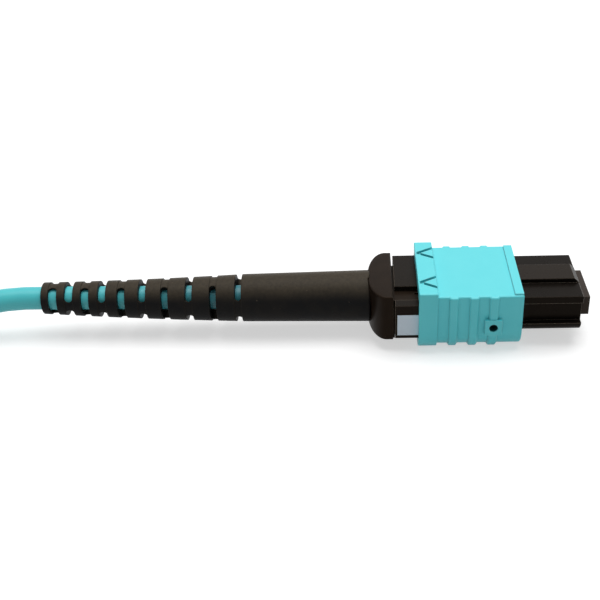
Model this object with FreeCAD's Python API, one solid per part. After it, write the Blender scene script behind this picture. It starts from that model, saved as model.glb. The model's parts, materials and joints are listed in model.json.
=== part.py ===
import FreeCAD, Part
import math
import os

# Push-pull multi-fibre connector on a round cable, in millimetres.
# Origin: centre of the ferrule's end face.  +X points out of the connector
# towards its mate, +Z is the key side, and -Y is the side with the white mark.

V = FreeCAD.Vector
X_AXIS = V(1, 0, 0)
ORIGIN = V(0, 0, 0)
SIDES = (-1, 1)

# --- fits ---
SLIDE_GAP = 0.10          # sleeve over inner housing, and sprung pieces in their bores
SEAT_GAP = 0.03           # between a piece and the stop that it rests on

# --- ferrule and fibres ---
FERRULE_WIDTH = 6.4
FERRULE_HEIGHT = 2.5
FERRULE_LENGTH = 8.0
SHOULDER_WIDTH = 7.0
SHOULDER_HEIGHT = 3.0
SHOULDER_LENGTH = 2.0
GUIDE_HOLE_R = 0.35
GUIDE_HOLE_PITCH = 4.6
FIBRE_COUNT = 12
FIBRE_PITCH = 0.25
FIBRE_R = 0.0625
FIBRE_HOLE_R = 0.065
RIBBON_WIDTH = 3.1
RIBBON_THICKNESS = 0.32
RIBBON_FRONT = -2.8       # where the ribbon is stripped to bare fibres
RIBBON_FIT = 0.04         # play of the ribbon in the pieces that hold it
RIBBON_TAPER_SETBACK = 1.5   # from the rear body's front to where the ribbon gathers
EPOXY_WINDOW_LENGTH = 1.4
EPOXY_WINDOW_FRONT = -3.0
EPOXY_WINDOW_WIDTH = 3.4
EPOXY_SINK = 0.1          # cured adhesive stands this far below the ferrule's top
BUNDLE_R = 0.6            # loose fibres, behind the ribbon
BOOTLET_WIDTH = 3.56      # small rubber boot in the back of the ferrule
BOOTLET_HEIGHT = 1.24
BOOTLET_FRONT = -5.0
BOOTLET_LENGTH = 7.5
FERRULE_TRAVEL = 0.5

# --- pin clamp and ferrule spring ---
CLAMP_WIDTH = 6.9
CLAMP_HEIGHT = 2.9
CLAMP_LENGTH = 2.0
CLAMP_BOSS_WIDTH = 4.5
CLAMP_BOSS_HEIGHT = 1.84
CLAMP_BOSS_LENGTH = 1.2
SPRING_WIDTH = 6.7
SPRING_HEIGHT = 3.7
SPRING_WIRE = 0.36
SPRING_TURNS = 6

# --- inner housing ---
INNER_WIDTH = 10.3
INNER_TOP = 2.5
INNER_BOTTOM = -2.6
INNER_CORNER_R = 1.3      # the two long bottom corners
INNER_FRONT = -1.2
CAVITY_WIDTH = 7.24
CAVITY_HEIGHT = 3.9
NOSE_GAP = 0.10           # ferrule in the housing's front window
BLOCK_WIDTH = 11.5        # wide rear block of the inner housing
BLOCK_TOP = 1.92          # the low half of its top, on the near side
BLOCK_BOTTOM = -2.8
BLOCK_REAR = -23.9
BLOCK_LENGTH = 3.3
BLOCK_STEP_Y = -2.0       # where the block's top steps up to the housing's height
KEY_WIDTH = 3.56
KEY_HEIGHT = 0.6
KEY_LENGTH = 8.2
KEY_EDGE_R = 0.08
GROOVE_DEPTH = 0.85       # side grooves for the adapter's hooks
GROOVE_TOP = 1.6
GROOVE_BOTTOM = -1.3
GROOVE_LENGTH = 9.7
RIDGE_LENGTH = 1.0        # low ramp in each groove, behind which a hook catches
RIDGE_HEIGHT = 0.3
RIDGE_FRONT = -7.4
CHANNEL_HEIGHT = 1.9      # side channels for the coupling springs
STOP_LENGTH = 1.45        # wall between hook groove and spring channel
INNER_EDGE_R = 0.2
SMALL_EDGE_R = 0.1
FRONT_CHAMFER = 0.08

# --- outer housing, the coupling sleeve ---
SLEEVE_WIDTH = 12.34
SLEEVE_TOP = 3.38
SLEEVE_BOTTOM = -4.44
SLEEVE_CORNER_R = 2.6
SLEEVE_FRONT = -8.5
SLEEVE_LENGTH = 12.57
SLEEVE_EDGE_R = 0.22
BAND_LENGTH = 2.27        # raised collar at the back of the sleeve
BAND_RISE_TOP = 0.65
BAND_RISE_SIDE = 0.33
BAND_TOP_R = 0.2
BAND_EDGE_R = 0.12
REAR_BORE_DEPTH = 2.17    # wide bore that takes the inner housing's block
RIB_CENTRES = (-16.87, -14.42, -12.05)
RIB_WIDTH = 1.08
RIB_RISE = 0.33
BOSS_LENGTH = 2.05        # flat pad on the front rib, with a core hole
BOSS_TOP = 0.2
BOSS_HEIGHT = 2.1
BOSS_RISE = 0.5
BOSS_ROOT = 0.8           # how far the pad runs into the wall
CORE_HOLE_R = 0.53
CORE_HOLE_Z = -0.86
STRIP_LENGTH = 1.1        # raised strip along the sleeve's front top edge
STRIP_RISE = 0.22
STRIP_END_INSET = 0.25
STRIP_SETBACK = 0.06
CHEVRON_SPACING = 7.2
CHEVRON_HALF_SPREAD = 1.36
CHEVRON_LINE = 0.48
CHEVRON_DEPTH = 0.34
CHEVRON_REAR_INSET = 0.02
CHEVRON_FRONT_INSET = 0.05
LUG_LENGTH = 0.9          # inward lug that carries the front end of each coupling spring
LUG_HEIGHT = 1.5

# --- coupling springs ---
COUPLING_SPRING_R = 0.5   # mean radius
COUPLING_WIRE = 0.2
COUPLING_TURNS = 9

# --- rear body ---
NOSE_FRONT = -17.2        # seat of the ferrule spring
NOSE_WIDTH = 7.0
NOSE_HEIGHT = 3.7
NECK_WIDTH = 8.4
NECK_FRONT = -21.05
HOOK_RISE = 0.6
HOOK_LENGTH = 1.2
HOOK_FRONT = -18.4
HOOK_HEIGHT = 1.4
HOOK_TIP_LENGTH = 0.48    # flat of each hook, behind its ramp
ARM_THICKNESS = 0.6
ARM_SLIT = 0.35
ARM_LENGTH = 4.3
RIBBON_CHANNEL_WIDTH = 3.6
RIBBON_CHANNEL_HEIGHT = 1.5
RIBBON_CHANNEL_REACH = 0.4   # how far the channel runs into the flange
FLANGE_FRONT = -24.15
FLANGE_WIDTH = 11.1
FLANGE_HEIGHT = 6.2
FLANGE_STRAIGHT = 0.8
FLANGE_BULGE = 2.25
FLANGE_EDGE_R = 0.2
SPACER_WIDTH = 10.6       # low step that fills the gap between flange and block
SPACER_TOP = 1.2
SPACER_BOTTOM = -2.95
POST_R = 1.95             # crimp post
POST_BORE_R = 1.0
POST_REAR = -33.0
POST_GROOVES = 4
POST_GROOVE_WIDTH = 0.4
POST_GROOVE_DEPTH = 0.12

# --- crimp ring, yarn and cable ---
CABLE_R = 1.5
JACKET_BORE_R = 1.0
JACKET_FRONT = -34.0
YARN_THICKNESS = 0.16
YARN_BORE_R = 0.75
YARN_BEND = 0.1           # from the post's end to where the yarn turns inwards
RING_FRONT = -28.0
RING_WALL = 0.36
RING_WIDE_REAR = -33.3
RING_NARROW_FRONT = -34.2
RING_REAR = -37.6
CRIMP_GAP = 0.02

# --- boot ---
BOOT_FRONT = -26.9        # its end is hollowed to the curve of the flange
BOOT_REAR = -68.95
BOOT_FRONT_R = 3.27
BOOT_PLAIN_REAR = -42.65  # end of the unslotted part
BOOT_PLAIN_REAR_R = 3.05
BOOT_REAR_R = 2.05
BOOT_BORE_GAP = 0.1
BOOT_LIP_R = 0.22
SLOT_FIRST = -67.45       # the rearmost slot
SLOT_PITCHES = (2.1, 2.1, 2.2, 2.5, 2.7, 2.9, 3.1, 3.1, 3.2)
SLOT_WIDTH_REAR = 1.15
SLOT_WIDTH_FRONT = 0.85
SLOT_END_ANGLE = 57.0     # from a window's middle to the centre of its round end
BRIDGE_RECESS = 0.15

# --- white mark ---
MARK_TOP = 0.66
MARK_BOTTOM = -2.25
MARK_LENGTH = 3.0
MARK_SINK = 0.1
MARK_INSET = 0.25         # from the rear edge of the block
MARK_THICKNESS = 0.15

# --- free cable, its hank and what is on it ---
FLOOR = SLEEVE_BOTTOM - BAND_RISE_SIDE
TIE_THICKNESS = 0.6
TIE_WIDTH = 11.0
FOLD_R = 12.0             # outer fold of the hank, to the cable's centre line
NEST = 2 * CABLE_R        # turns lie a diameter apart
HANK_NESTED = 2
HANK_LAYERS = 4
HANK_FRONT = -84.0
HANK_LENGTH = 56.0
HANK_Y = 7.25
HANK_EDGE_R = 1.2
CAP_R = 1.8
CAP_LENGTH = 12.0
CAP_EDGE_R = 0.7
CAP_TIE_GAP = 2.0         # between the tie and the cap
LAYER_Z = FLOOR + TIE_THICKNESS + CABLE_R
ROUTE = (
    (BOOT_REAR, 0.0, 0.0),
    (-77.1, 0.0, 0.0),
    (-86.0, HANK_Y - FOLD_R, LAYER_Z),
    (-94.0, HANK_Y - FOLD_R, LAYER_Z),
)

# --- places worked out from the sizes above ---
BLOCK_FRONT = BLOCK_REAR + BLOCK_LENGTH
WEB_Y = INNER_WIDTH / 2 - GROOVE_DEPTH
GROOVE_REAR = INNER_FRONT - GROOVE_LENGTH
STOP_REAR = GROOVE_REAR - STOP_LENGTH
SLEEVE_REAR = SLEEVE_FRONT - SLEEVE_LENGTH
BAND_FRONT = SLEEVE_REAR + BAND_LENGTH
LUG_FRONT = STOP_REAR - SEAT_GAP
LUG_REAR = LUG_FRONT - LUG_LENGTH
SHOULDER_FRONT = -FERRULE_LENGTH + SHOULDER_LENGTH
CLAMP_REAR = -FERRULE_LENGTH - CLAMP_LENGTH
SPRING_Y = WEB_Y + SLIDE_GAP + COUPLING_SPRING_R + COUPLING_WIRE / 2
CROWN_Z = SLEEVE_TOP + BAND_RISE_TOP
YARN_R = POST_R + YARN_THICKNESS
RING_BORE_R = YARN_R + CRIMP_GAP
BEND_X = FLANGE_FRONT - FLANGE_STRAIGHT   # where the flange's back starts to curve


def box(x0, x1, y0, y1, z0, z1):
    """Box between two opposite corners."""
    return Part.makeBox(x1 - x0, y1 - y0, z1 - z0, V(x0, y0, z0))


def slab(x0, x1, width, z0, z1):
    """Box centred on the XZ plane."""
    return box(x0, x1, -width / 2, width / 2, z0, z1)


def core(x0, x1, width, height):
    """Box centred on the connector's axis."""
    return slab(x0, x1, width, -height / 2, height / 2)


def side_box(side, x0, x1, y_in, y_out, z0, z1):
    """Box on the given side of the XZ plane, from y_in out to y_out."""
    near, far = sorted((side * y_in, side * y_out))
    return box(x0, x1, near, far, z0, z1)


def rod(x0, x1, radius, y=0.0, z=0.0):
    """Cylinder along X."""
    return Part.makeCylinder(radius, x1 - x0, V(x0, y, z), X_AXIS)


def turned(outline):
    """Solid of revolution about the X axis, from (x, radius) points."""
    points = [V(x, 0, r) for x, r in outline]
    face = Part.Face(Part.makePolygon(points + points[:1]))
    return face.revolve(ORIGIN, X_AXIS, 360)


def rounded_section(x0, x1, width, top, bottom, top_r, bottom_r):
    """Bar along X whose section has two top and two bottom corner radii."""
    half = width / 2
    corners = (
        (half, top, top_r, -1, -1),
        (half, bottom, bottom_r, -1, 1),
        (-half, bottom, bottom_r, 1, 1),
        (-half, top, top_r, 1, -1),
    )
    edges = []
    ends = []
    for index, (y, z, r, inward_y, inward_z) in enumerate(corners):
        on_side = V(x0, y, z + inward_z * r)
        on_flat = V(x0, y + inward_y * r, z)
        first, last = (on_flat, on_side) if index % 2 == 0 else (on_side, on_flat)
        bulge = r * (1 - math.sqrt(0.5))
        middle = V(x0, y + inward_y * bulge, z + inward_z * bulge)
        edges.append(Part.Arc(first, middle, last).toShape())
        ends.append((first, last))
    for (_, last), (first, _) in zip(ends, ends[1:] + ends[:1]):
        edges.append(Part.makeLine(last, first))
    wire = Part.Wire(Part.__sortEdges__(edges))
    return Part.Face(wire).extrude(V(x1 - x0, 0, 0))


def end_edges(shape, x):
    """Edges of a shape that lie wholly in the plane at x."""
    return [e for e in shape.Edges if all(abs(v.X - x) < 1e-6 for v in e.Vertexes)]


def one_solid(shape):
    """The single solid of a boolean result, with its split faces merged."""
    clean = shape.removeSplitter()
    return clean.Solids[0] if len(clean.Solids) == 1 else clean


# ---------------------------------------------------------------- ferrule group

def fibre_places():
    """Centres of the fibres across the ferrule."""
    half = (FIBRE_COUNT - 1) / 2
    return [(index - half) * FIBRE_PITCH for index in range(FIBRE_COUNT)]


def make_ferrule():
    body = core(-FERRULE_LENGTH, 0, FERRULE_WIDTH, FERRULE_HEIGHT)
    body = body.fuse(core(-FERRULE_LENGTH, SHOULDER_FRONT, SHOULDER_WIDTH, SHOULDER_HEIGHT))
    cuts = [
        core(-FERRULE_LENGTH, BOOTLET_FRONT + SEAT_GAP, BOOTLET_WIDTH + RIBBON_FIT,
             BOOTLET_HEIGHT + RIBBON_FIT),
        core(-FERRULE_LENGTH, RIBBON_FRONT, RIBBON_WIDTH + RIBBON_FIT,
             RIBBON_THICKNESS + RIBBON_FIT),
        slab(EPOXY_WINDOW_FRONT - EPOXY_WINDOW_LENGTH, EPOXY_WINDOW_FRONT,
             EPOXY_WINDOW_WIDTH, 0, FERRULE_HEIGHT),
    ]
    for side in SIDES:
        cuts.append(rod(-FERRULE_LENGTH, 0, GUIDE_HOLE_R, side * GUIDE_HOLE_PITCH / 2))
    for y in fibre_places():
        cuts.append(rod(RIBBON_FRONT, 0, FIBRE_HOLE_R, y))
    return one_solid(body.cut(cuts))


def make_ferrule_epoxy():
    """Cured adhesive that fills the window over the ribbon."""
    return slab(EPOXY_WINDOW_FRONT - EPOXY_WINDOW_LENGTH, EPOXY_WINDOW_FRONT,
                EPOXY_WINDOW_WIDTH, RIBBON_THICKNESS / 2 + RIBBON_FIT,
                FERRULE_HEIGHT / 2 - EPOXY_SINK)


def make_fibre_ribbon():
    """Bare fibre ends, the ribbon behind them, and the loose bundle in the cable."""
    narrow = BUNDLE_R * math.sqrt(2)      # largest square inside the bundle
    taper_front = NOSE_FRONT - RIBBON_TAPER_SETBACK
    taper_rear = FLANGE_FRONT
    ribbon = core(taper_front, RIBBON_FRONT, RIBBON_WIDTH, RIBBON_THICKNESS)
    wires = []
    for x, width, height in ((taper_front, RIBBON_WIDTH, RIBBON_THICKNESS),
                             (taper_rear, narrow, narrow)):
        corners = [V(x, -width / 2, -height / 2), V(x, width / 2, -height / 2),
                   V(x, width / 2, height / 2), V(x, -width / 2, height / 2)]
        wires.append(Part.makePolygon(corners + corners[:1]))
    taper = Part.makeLoft(wires, True, True)
    bundle_rear = BOOT_REAR + FERRULE_TRAVEL + SLIDE_GAP
    bundle = rod(bundle_rear, taper_rear + BUNDLE_R / 2, BUNDLE_R)
    fibres = [rod(RIBBON_FRONT, 0, FIBRE_R, y) for y in fibre_places()]
    return one_solid(ribbon.fuse([taper, bundle] + fibres))


def make_ferrule_boot():
    body = core(BOOTLET_FRONT - BOOTLET_LENGTH, BOOTLET_FRONT, BOOTLET_WIDTH, BOOTLET_HEIGHT)
    slot = core(BOOTLET_FRONT - BOOTLET_LENGTH, BOOTLET_FRONT, RIBBON_WIDTH + RIBBON_FIT,
                RIBBON_THICKNESS + RIBBON_FIT)
    return body.cut(slot)


def make_pin_clamp():
    plate = core(CLAMP_REAR, -FERRULE_LENGTH, CLAMP_WIDTH, CLAMP_HEIGHT)
    boss = core(CLAMP_REAR - CLAMP_BOSS_LENGTH, CLAMP_REAR, CLAMP_BOSS_WIDTH, CLAMP_BOSS_HEIGHT)
    opening = core(CLAMP_REAR - CLAMP_BOSS_LENGTH, -FERRULE_LENGTH, BOOTLET_WIDTH + SLIDE_GAP,
                   BOOTLET_HEIGHT + SLIDE_GAP)
    return one_solid(plate.fuse(boss).cut(opening))


def make_ferrule_spring():
    """Oval compression spring with closed ends."""
    front = CLAMP_REAR - SPRING_WIRE / 2 - SEAT_GAP
    rear = NOSE_FRONT + SPRING_WIRE / 2 + SEAT_GAP
    half_y = (SPRING_WIDTH - SPRING_WIRE) / 2
    half_z = (SPRING_HEIGHT - SPRING_WIRE) / 2
    steps_per_turn = 12
    steps = SPRING_TURNS * steps_per_turn
    closed = steps_per_turn          # one flat coil at each end
    rise = front - rear - 2 * SPRING_WIRE
    points = []
    for step in range(steps + 1):
        angle = 2 * math.pi * step / steps_per_turn
        first = min(step, closed) / closed
        last = max(step - (steps - closed), 0) / closed
        middle = min(max(step - closed, 0), steps - 2 * closed) / (steps - 2 * closed)
        x = front - SPRING_WIRE * (first + last) - rise * middle
        points.append(V(x, half_y * math.cos(angle), half_z * math.sin(angle)))
    curve = Part.BSplineCurve()
    curve.interpolate(points)
    path = Part.Wire(curve.toShape())
    tangent = curve.tangent(curve.FirstParameter)[0]
    section = Part.Wire(Part.makeCircle(SPRING_WIRE / 2, points[0], tangent))
    return path.makePipeShell([section], True, True)


# ---------------------------------------------------------------- inner housing

def make_inner_housing():
    front = rounded_section(BLOCK_FRONT, INNER_FRONT, INNER_WIDTH, INNER_TOP, INNER_BOTTOM,
                            INNER_EDGE_R, INNER_CORNER_R)
    front = front.makeChamfer(FRONT_CHAMFER, end_edges(front, INNER_FRONT))
    block = rounded_section(BLOCK_REAR, BLOCK_FRONT, BLOCK_WIDTH, BLOCK_TOP, BLOCK_BOTTOM,
                            INNER_EDGE_R, INNER_EDGE_R)
    high_width = BLOCK_WIDTH / 2 - BLOCK_STEP_Y
    high_top = rounded_section(BLOCK_REAR, BLOCK_FRONT, high_width, INNER_TOP, 0,
                               SMALL_EDGE_R, SMALL_EDGE_R)
    high_top.translate(V(0, BLOCK_STEP_Y + high_width / 2, 0))
    key_top = INNER_TOP + KEY_HEIGHT
    key = rounded_section(INNER_FRONT - KEY_LENGTH, INNER_FRONT, KEY_WIDTH, key_top,
                          INNER_TOP - KEY_HEIGHT, KEY_EDGE_R, KEY_EDGE_R)
    ramp = Part.makePolygon([
        V(INNER_FRONT - KEY_HEIGHT, 0, key_top), V(INNER_FRONT, 0, INNER_TOP),
        V(INNER_FRONT + 1, 0, INNER_TOP), V(INNER_FRONT + 1, 0, key_top + 1),
        V(INNER_FRONT - KEY_HEIGHT, 0, key_top + 1), V(INNER_FRONT - KEY_HEIGHT, 0, key_top)])
    ramp = Part.Face(ramp).extrude(V(0, KEY_WIDTH * 2, 0))
    ramp.translate(V(0, -KEY_WIDTH, 0))
    key = key.cut(ramp)
    housing = front.fuse([block, high_top, key])
    window_rear = SHOULDER_FRONT + SEAT_GAP
    neck_cavity_front = NECK_FRONT + SEAT_GAP
    cuts = [
        core(window_rear, INNER_FRONT, FERRULE_WIDTH + 2 * NOSE_GAP, FERRULE_HEIGHT + 2 * NOSE_GAP),
        core(BLOCK_REAR, window_rear, CAVITY_WIDTH, CAVITY_HEIGHT),
        core(BLOCK_REAR, neck_cavity_front, NECK_WIDTH + SLIDE_GAP, CAVITY_HEIGHT),
        side_box(-1, BLOCK_REAR + MARK_INSET, BLOCK_REAR + MARK_INSET + MARK_LENGTH,
                 BLOCK_WIDTH / 2 - MARK_SINK, BLOCK_WIDTH, MARK_BOTTOM, MARK_TOP),
    ]
    half = INNER_WIDTH / 2
    hook_rear = HOOK_FRONT - HOOK_LENGTH
    for side in SIDES:
        groove = side_box(side, GROOVE_REAR, INNER_FRONT, WEB_Y, half + 1,
                          GROOVE_BOTTOM, GROOVE_TOP)
        outline = [V(RIDGE_FRONT, side * WEB_Y, GROOVE_BOTTOM),
                   V(RIDGE_FRONT - RIDGE_LENGTH, side * WEB_Y, GROOVE_BOTTOM),
                   V(RIDGE_FRONT - RIDGE_LENGTH, side * (WEB_Y + RIDGE_HEIGHT), GROOVE_BOTTOM)]
        ridge = Part.Face(Part.makePolygon(outline + outline[:1]))
        cuts.append(groove.cut(ridge.extrude(V(0, 0, GROOVE_TOP - GROOVE_BOTTOM))))
        cuts.append(side_box(side, BLOCK_FRONT, STOP_REAR, WEB_Y, half + 1,
                             -CHANNEL_HEIGHT / 2, CHANNEL_HEIGHT / 2))
        cuts.append(side_box(side, hook_rear - SLIDE_GAP, HOOK_FRONT + SLIDE_GAP,
                             CAVITY_WIDTH / 2 - 1, WEB_Y + 1,
                             -HOOK_HEIGHT / 2 - SLIDE_GAP, HOOK_HEIGHT / 2 + SLIDE_GAP))
    return one_solid(housing.cut(cuts))


def make_polarity_mark():
    """White mark set into the -Y side of the inner housing's block."""
    floor_y = BLOCK_WIDTH / 2 - MARK_SINK
    rear = BLOCK_REAR + MARK_INSET
    return side_box(-1, rear, rear + MARK_LENGTH, floor_y, floor_y + MARK_THICKNESS,
                    MARK_BOTTOM, MARK_TOP)


# ---------------------------------------------------------------- outer housing

def chevron(y):
    """Cutter for one engraved arrow in the band's top, pointing to the rear."""
    apex_x = SLEEVE_REAR + CHEVRON_REAR_INSET
    front_x = BAND_FRONT - CHEVRON_FRONT_INSET
    arms = []
    for side in SIDES:
        run = front_x - apex_x
        angle = math.degrees(math.atan2(side * CHEVRON_HALF_SPREAD, run))
        length = math.hypot(run, CHEVRON_HALF_SPREAD)
        arm = Part.makeBox(length, CHEVRON_LINE, 2 * CHEVRON_DEPTH,
                           V(0, -CHEVRON_LINE / 2, CROWN_Z - CHEVRON_DEPTH))
        arm.rotate(ORIGIN, V(0, 0, 1), angle)
        arm.translate(V(apex_x + CHEVRON_LINE / 2, y, 0))
        arms.append(arm)
    return arms[0].fuse(arms[1])


def make_outer_housing():
    half = SLEEVE_WIDTH / 2
    shell = rounded_section(SLEEVE_REAR, SLEEVE_FRONT, SLEEVE_WIDTH, SLEEVE_TOP, SLEEVE_BOTTOM,
                            SLEEVE_EDGE_R, SLEEVE_CORNER_R)
    shell = shell.makeFillet(SLEEVE_EDGE_R, end_edges(shell, SLEEVE_FRONT))
    band = rounded_section(SLEEVE_REAR, BAND_FRONT, SLEEVE_WIDTH + 2 * BAND_RISE_SIDE, CROWN_Z,
                           SLEEVE_BOTTOM - BAND_RISE_SIDE, BAND_TOP_R,
                           SLEEVE_CORNER_R + BAND_RISE_SIDE)
    band = band.makeFillet(BAND_EDGE_R, end_edges(band, SLEEVE_REAR) + end_edges(band, BAND_FRONT))
    added = [band]
    for centre in RIB_CENTRES:
        rib = rounded_section(centre - RIB_WIDTH / 2, centre + RIB_WIDTH / 2,
                              SLEEVE_WIDTH + 2 * RIB_RISE, SLEEVE_TOP,
                              SLEEVE_BOTTOM - RIB_RISE, SLEEVE_EDGE_R, SLEEVE_CORNER_R + RIB_RISE)
        rib = rib.makeChamfer(RIB_RISE / 2, end_edges(rib, centre - RIB_WIDTH / 2)
                              + end_edges(rib, centre + RIB_WIDTH / 2))
        added.append(rib.common(slab(SLEEVE_REAR, SLEEVE_FRONT, 4 * SLEEVE_WIDTH,
                                     SLEEVE_BOTTOM, SLEEVE_TOP)))
    boss_x = RIB_CENTRES[-1]
    for side in SIDES:
        pad = side_box(side, boss_x - BOSS_LENGTH / 2, boss_x + BOSS_LENGTH / 2, half - BOSS_ROOT,
                       half + BOSS_RISE, BOSS_TOP - BOSS_HEIGHT, BOSS_TOP)
        added.append(pad)
    strip_width = SLEEVE_WIDTH - 2 * STRIP_END_INSET
    strip = slab(SLEEVE_FRONT - STRIP_LENGTH, SLEEVE_FRONT - STRIP_SETBACK, strip_width,
                 SLEEVE_TOP - SLEEVE_EDGE_R * 2, SLEEVE_TOP + STRIP_RISE)
    added.append(strip)
    body = shell.fuse(added)
    step_x = SLEEVE_REAR + REAR_BORE_DEPTH
    key_bore_top = INNER_TOP + KEY_HEIGHT + SLIDE_GAP / 2
    key_bore_rear = INNER_FRONT - KEY_LENGTH - SLIDE_GAP
    cuts = [
        rounded_section(SLEEVE_REAR, SLEEVE_FRONT, INNER_WIDTH + 2 * SLIDE_GAP,
                        INNER_TOP + SLIDE_GAP, INNER_BOTTOM - SLIDE_GAP, SMALL_EDGE_R,
                        INNER_CORNER_R),
        rounded_section(SLEEVE_REAR, step_x, BLOCK_WIDTH + 2 * SLIDE_GAP,
                        INNER_TOP + SLIDE_GAP, BLOCK_BOTTOM - SLIDE_GAP, SMALL_EDGE_R,
                        INNER_EDGE_R),
        slab(key_bore_rear, SLEEVE_FRONT, KEY_WIDTH + 2 * SLIDE_GAP, 0, key_bore_top),
    ]
    for side in SIDES:
        cuts.append(side_box(side, BLOCK_FRONT, LUG_REAR, WEB_Y, SPRING_Y + COUPLING_SPRING_R
                             + COUPLING_WIRE / 2 + SLIDE_GAP, -CHANNEL_HEIGHT / 2 + SLIDE_GAP,
                             CHANNEL_HEIGHT / 2 - SLIDE_GAP))
        hole = Part.makeCylinder(CORE_HOLE_R, half, V(boss_x, side * WEB_Y, CORE_HOLE_Z),
                                 V(0, side, 0))
        cuts.append(hole)
        cuts.append(chevron(side * CHEVRON_SPACING / 2))
    body = body.cut(cuts)
    lugs = [side_box(side, LUG_REAR, LUG_FRONT, WEB_Y + SLIDE_GAP, half - SLIDE_GAP,
                     -LUG_HEIGHT / 2, LUG_HEIGHT / 2) for side in SIDES]
    return one_solid(body.fuse(lugs))


def make_coupling_spring(side):
    """Small round coil between the housing's block and the sleeve's lug."""
    rear = BLOCK_FRONT + COUPLING_WIRE / 2 + SEAT_GAP
    front = LUG_REAR - COUPLING_WIRE / 2 - SEAT_GAP
    length = front - rear
    helix = Part.makeHelix(length / COUPLING_TURNS, length, COUPLING_SPRING_R)
    start = V(COUPLING_SPRING_R, 0, 0)
    section = Part.Wire(Part.makeCircle(COUPLING_WIRE / 2, start, V(0, 1, 0)))
    spring = Part.Wire(helix.Edges).makePipeShell([section], True, True)
    spring.rotate(ORIGIN, V(0, 1, 0), 90)
    spring.translate(V(rear, side * SPRING_Y, 0))
    return spring


# ---------------------------------------------------------------- rear body and crimp

def flange_plate(grow):
    """Plate with a straight front and a bulged back, larger all round by grow."""
    half = FLANGE_WIDTH / 2 + grow
    height = FLANGE_HEIGHT + 2 * grow
    bulge = FLANGE_BULGE + grow
    rim = Part.Ellipse(V(BEND_X, half, 0), V(BEND_X - bulge, 0, 0), V(BEND_X, 0, 0))
    arc = Part.Arc(rim, 0, math.pi).toShape()
    ends = sorted((v.Point for v in arc.Vertexes), key=lambda p: p.y)
    low, high = V(FLANGE_FRONT, -half, 0), V(FLANGE_FRONT, half, 0)
    outline = Part.Wire(Part.__sortEdges__([
        arc, Part.makeLine(ends[0], low), Part.makeLine(low, high), Part.makeLine(high, ends[1])]))
    plate = Part.Face(outline).extrude(V(0, 0, height))
    plate.translate(V(0, 0, -height / 2))
    return plate


def make_rear_body():
    neck = core(FLANGE_FRONT, NECK_FRONT, NECK_WIDTH, NOSE_HEIGHT)
    nose = core(NECK_FRONT, NOSE_FRONT, NOSE_WIDTH, NOSE_HEIGHT)
    spacer = slab(FLANGE_FRONT, BLOCK_REAR - SEAT_GAP, SPACER_WIDTH, SPACER_BOTTOM, SPACER_TOP)
    flange = flange_plate(0)
    rims = [e for e in flange.Edges
            if abs(abs(e.CenterOfMass.z) - FLANGE_HEIGHT / 2) < 1e-6]
    flange = flange.makeFillet(FLANGE_EDGE_R, rims)
    post = rod(POST_REAR, BEND_X, POST_R)
    body = flange.fuse([neck, nose, spacer, post])
    cuts = [
        core(FLANGE_FRONT - RIBBON_CHANNEL_REACH, NOSE_FRONT, RIBBON_CHANNEL_WIDTH,
             RIBBON_CHANNEL_HEIGHT),
        rod(POST_REAR, FLANGE_FRONT, POST_BORE_R),
    ]
    for side in SIDES:
        arm_in = NOSE_WIDTH / 2 - ARM_THICKNESS
        cuts.append(side_box(side, NOSE_FRONT - ARM_LENGTH, NOSE_FRONT, arm_in - ARM_SLIT, arm_in,
                             -NOSE_HEIGHT, NOSE_HEIGHT))
    spacing = (RING_FRONT - POST_REAR) / (POST_GROOVES + 1)
    for index in range(POST_GROOVES):
        x = POST_REAR + spacing * (index + 1)
        ring = rod(x, x + POST_GROOVE_WIDTH, POST_R + 1)
        cuts.append(ring.cut(rod(x, x + POST_GROOVE_WIDTH, POST_R - POST_GROOVE_DEPTH)))
    body = body.cut(cuts)
    hooks = []
    for side in SIDES:
        root_y = side * (NOSE_WIDTH / 2 - ARM_THICKNESS / 2)
        tip_y = side * (NOSE_WIDTH / 2 + HOOK_RISE)
        rear = HOOK_FRONT - HOOK_LENGTH
        outline = [V(rear, root_y, 0), V(rear, tip_y, 0), V(rear + HOOK_TIP_LENGTH, tip_y, 0),
                   V(HOOK_FRONT, root_y, 0)]
        hook = Part.Face(Part.makePolygon(outline + outline[:1])).extrude(V(0, 0, HOOK_HEIGHT))
        hook.translate(V(0, 0, -HOOK_HEIGHT / 2))
        hooks.append(hook)
    return one_solid(body.fuse(hooks))


def make_crimp_ring():
    """Metal sleeve: wide over the yarn and post, narrow on the jacket."""
    narrow_bore = CABLE_R + CRIMP_GAP
    return turned([
        (RING_FRONT, RING_BORE_R), (RING_FRONT, RING_BORE_R + RING_WALL),
        (RING_WIDE_REAR, RING_BORE_R + RING_WALL), (RING_NARROW_FRONT, narrow_bore + RING_WALL),
        (RING_REAR, narrow_bore + RING_WALL), (RING_REAR, narrow_bore),
        (RING_NARROW_FRONT, narrow_bore), (RING_WIDE_REAR, RING_BORE_R)])


def make_aramid_yarn():
    """Strength yarn: a sleeve in the cable that opens out and lies over the post."""
    inside_r = POST_R + CRIMP_GAP / 2
    return turned([
        (RING_FRONT, inside_r), (RING_FRONT, YARN_R),
        (POST_REAR - YARN_BEND, YARN_R), (JACKET_FRONT, JACKET_BORE_R - CRIMP_GAP / 2),
        (BOOT_REAR, JACKET_BORE_R - CRIMP_GAP / 2), (BOOT_REAR, YARN_BORE_R),
        (JACKET_FRONT, YARN_BORE_R), (POST_REAR - YARN_BEND / 2, inside_r)])


def make_cable_jacket_end():
    """Jacket from the crimp to the boot's mouth."""
    return rod(BOOT_REAR, JACKET_FRONT, CABLE_R).cut(rod(BOOT_REAR, JACKET_FRONT, JACKET_BORE_R))


# ---------------------------------------------------------------- boot

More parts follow.
